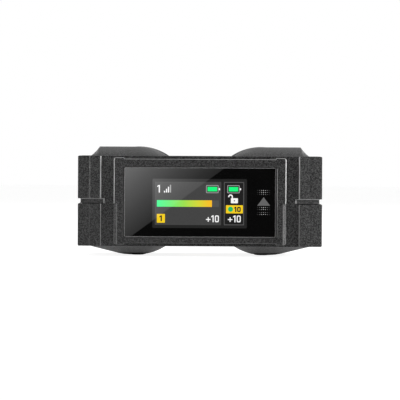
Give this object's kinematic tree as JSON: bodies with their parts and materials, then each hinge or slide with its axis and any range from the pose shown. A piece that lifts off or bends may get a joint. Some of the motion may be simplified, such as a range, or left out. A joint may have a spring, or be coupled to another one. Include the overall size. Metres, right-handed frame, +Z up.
{
  "type": "wireless microphone receiver",
  "caption": "Compact wireless audio receiver: textured split plastic case, front display behind glass, side sockets, top keys and quarter-turn battery caps at the back.",
  "frame": {"origin": "middle of the footprint, on the surface that the two foot pads stand on", "axes": "+X to the right of a person who reads the display, +Y from the display towards the battery caps, +Z up"},
  "size_m": [0.0564, 0.0552, 0.0254],
  "materials": {
    "case_plastic": "fine moulded texture, dark grey",
    "window_glass": "polished, with a black printed border behind it",
    "black_rubber": "matte",
    "display_face": "lit colour display",
    "clear_plastic": "frosted clear",
    "flex_film": "amber film",
    "circuit_board": "solder mask",
    "bright_steel": "plated",
    "gold_contact": "plated",
    "black_plastic": "satin",
    "cell_wrap": "film wrap over a metal can",
    "cap_metal": "dark anodised",
    "brass": "machined"
  },
  "bodies": {
    "housing": {"upper_shell": "case_plastic", "lower_shell": "case_plastic", "front_bezel": "case_plastic", "rear_bulkhead": "case_plastic", "display_glass": "window_glass", "glass_gasket": "black_rubber", "display_panel": "display_face", "touch_key_guide": "clear_plastic", "display_flex": "flex_film", "main_board": "circuit_board", "rf_shield": "bright_steel", "usb_socket": "bright_steel", "headphone_jack": "black_plastic", "line_out_jack": "black_plastic", "antenna_left": "gold_contact", "antenna_right": "gold_contact", "key_board": "circuit_board", "power_switch": "bright_steel", "link_switch": "bright_steel", "status_light_pipe": "clear_plastic", "battery_tube_left": "black_plastic", "battery_tube_right": "black_plastic", "contact_disc_left": "gold_contact", "contact_disc_right": "gold_contact", "contact_spring_left": "bright_steel", "contact_spring_right": "bright_steel", "battery_cell_left": "cell_wrap", "battery_cell_right": "cell_wrap", "mount_insert": "brass", "foot_pad_left": "black_rubber", "foot_pad_right": "black_rubber", "case_screw_front": "bright_steel", "case_screw_rear": "bright_steel", "bulkhead_screw_1": "bright_steel", "bulkhead_screw_2": "bright_steel", "bulkhead_screw_3": "bright_steel", "bulkhead_screw_4": "bright_steel"},
    "power_key": {"power_button": "black_plastic"},
    "link_key": {"link_button": "black_plastic"},
    "left_cap": {"battery_cap_left": "cap_metal", "cap_seal_left": "black_rubber", "cap_contact_left": "gold_contact"},
    "right_cap": {"battery_cap_right": "cap_metal", "cap_seal_right": "black_rubber", "cap_contact_right": "gold_contact"}
  },
  "joints": [
    {"name": "power_press", "type": "slide", "parent": "housing", "child": "power_key", "axis": [0, 0, -1], "range_m": [0, 0.0004], "stiffness_N_per_m": 2500},
    {"name": "link_press", "type": "slide", "parent": "housing", "child": "link_key", "axis": [0, 0, -1], "range_m": [0, 0.0004], "stiffness_N_per_m": 2500},
    {"name": "battery_cap_left_turn", "type": "hinge", "parent": "housing", "child": "left_cap", "pos_m": [-0.01455, 0.0251, 0.01275], "axis": [0, 1, 0], "range_deg": [0, 90]},
    {"name": "battery_cap_right_turn", "type": "hinge", "parent": "housing", "child": "right_cap", "pos_m": [0.01455, 0.0251, 0.01275], "axis": [0, 1, 0], "range_deg": [0, 90]}
  ]
}
